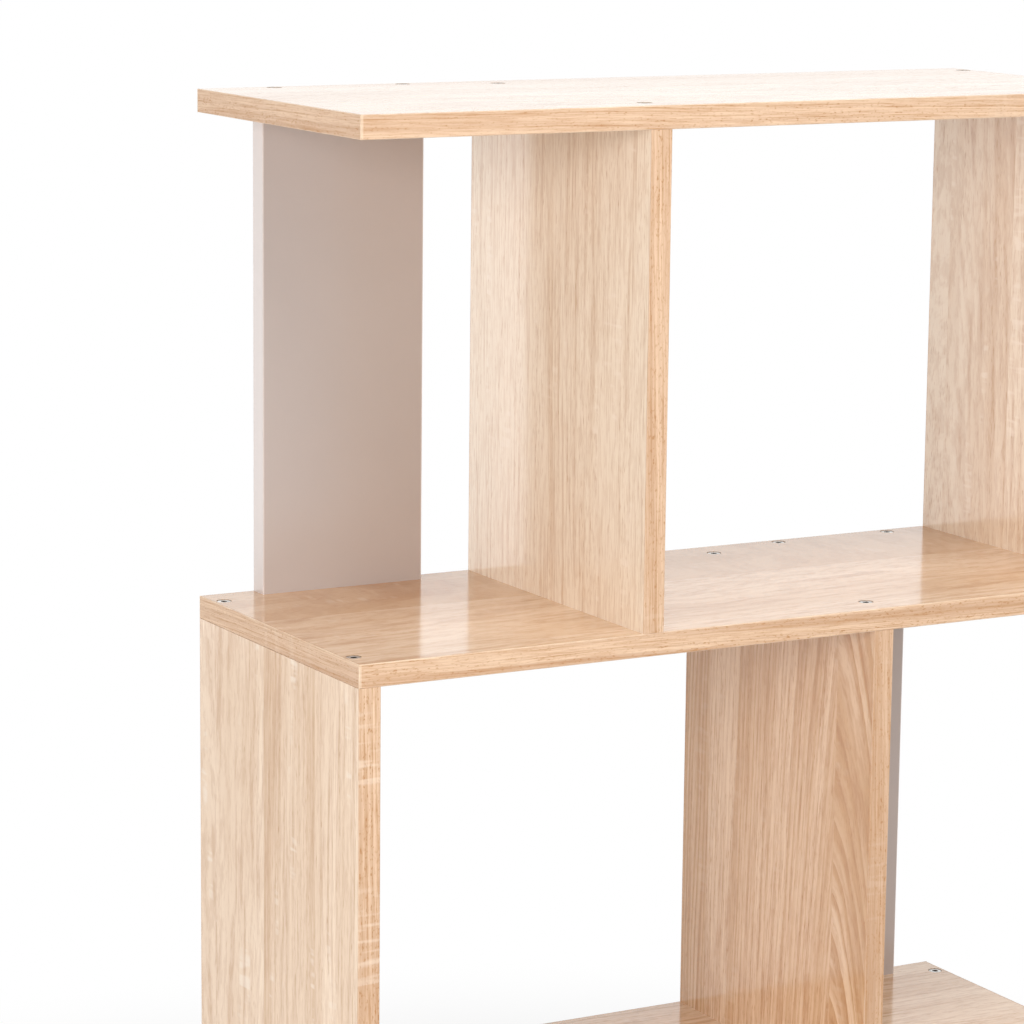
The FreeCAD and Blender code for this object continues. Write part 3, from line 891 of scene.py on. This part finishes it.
ROOM_STRENGTH = 0.44
PANEL_TARGET = Vector((0.0, 0.0, 0.7))
SOFT_PANELS = {
    "left_panel": dict(turn=-55.0, rise=13.0, away=3.2, wide=1.4, tall=0.9, level=0.41),
    "right_panel": dict(turn=30.0, rise=40.0, away=3.4, wide=1.8, tall=1.8, level=0.30),
    "high_panel": dict(turn=-20.0, rise=60.0, away=3.0, wide=1.4, tall=1.4, level=0.31),
    "back_panel": dict(turn=-150.0, rise=-4.0, away=3.2, wide=0.9, tall=0.8, level=0.013),
    "backdrop": dict(turn=180.0, rise=5.0, away=3.6, wide=8.0, tall=2.2, level=0.080),
}

world = bpy.data.worlds.new("white_room")
bpy.context.scene.world = world
world.use_nodes = True
room = world.node_tree
background = room.nodes["Background"]
background.inputs["Color"].default_value = WHITE
seen = seen_white(room)
strength = calculate(room, "MULTIPLY_ADD", seen, 1.0 - ROOM_STRENGTH, ROOM_STRENGTH)
room.links.new(strength, background.inputs["Strength"])

# A panel's level is how brightly it lights a white sheet that faces it at the unit
for name, panel in SOFT_PANELS.items():
    turn, rise = math.radians(panel["turn"]), math.radians(panel["rise"])
    flat = Vector((math.sin(turn), -math.cos(turn), 0.0))
    outward = math.cos(rise) * flat + math.sin(rise) * Vector((0.0, 0.0, 1.0))
    panel_data = bpy.data.lights.new(name, "AREA")
    panel_data.shape = "RECTANGLE"
    panel_data.size = panel["wide"]
    panel_data.size_y = panel["tall"]
    panel_data.energy = panel["level"] * (math.pi * panel["away"]) ** 2
    soft_panel = bpy.data.objects.new(name, panel_data)
    soft_panel.location = PANEL_TARGET + panel["away"] * outward
    soft_panel.rotation_euler = outward.to_track_quat("Z", "Y").to_euler()
    bpy.context.scene.collection.objects.link(soft_panel)


# Camera. It stands to the left of the front at about chest height, looks slightly down, and takes in
# the upper two tiers, as the photograph does.

CAMERA_PLACE = (-1.40655, -2.28267, 1.27221)
CAMERA_TURN = 0.5080
CAMERA_DIP = 0.1799
CAMERA_ROLL = 0.0103
FRAME_PIXELS = 1024
FOCAL_PIXELS = 3813.95
SENSOR_MM = 36.0

forward = Vector((
    math.sin(CAMERA_TURN) * math.cos(CAMERA_DIP),
    math.cos(CAMERA_TURN) * math.cos(CAMERA_DIP),
    -math.sin(CAMERA_DIP),
))
level = Vector((math.cos(CAMERA_TURN), -math.sin(CAMERA_TURN), 0.0))
upright = level.cross(forward)
right = math.cos(CAMERA_ROLL) * level + math.sin(CAMERA_ROLL) * upright
above = math.cos(CAMERA_ROLL) * upright - math.sin(CAMERA_ROLL) * level
camera_data = bpy.data.cameras.new("camera")
camera_data.sensor_width = SENSOR_MM
camera_data.lens = FOCAL_PIXELS / FRAME_PIXELS * SENSOR_MM
camera = bpy.data.objects.new("camera", camera_data)
turned = Matrix((right, above, -forward)).transposed().to_4x4()
camera.matrix_world = Matrix.Translation(CAMERA_PLACE) @ turned
bpy.context.scene.collection.objects.link(camera)
bpy.context.scene.camera = camera
bpy.context.scene.view_settings.view_transform = "Standard"
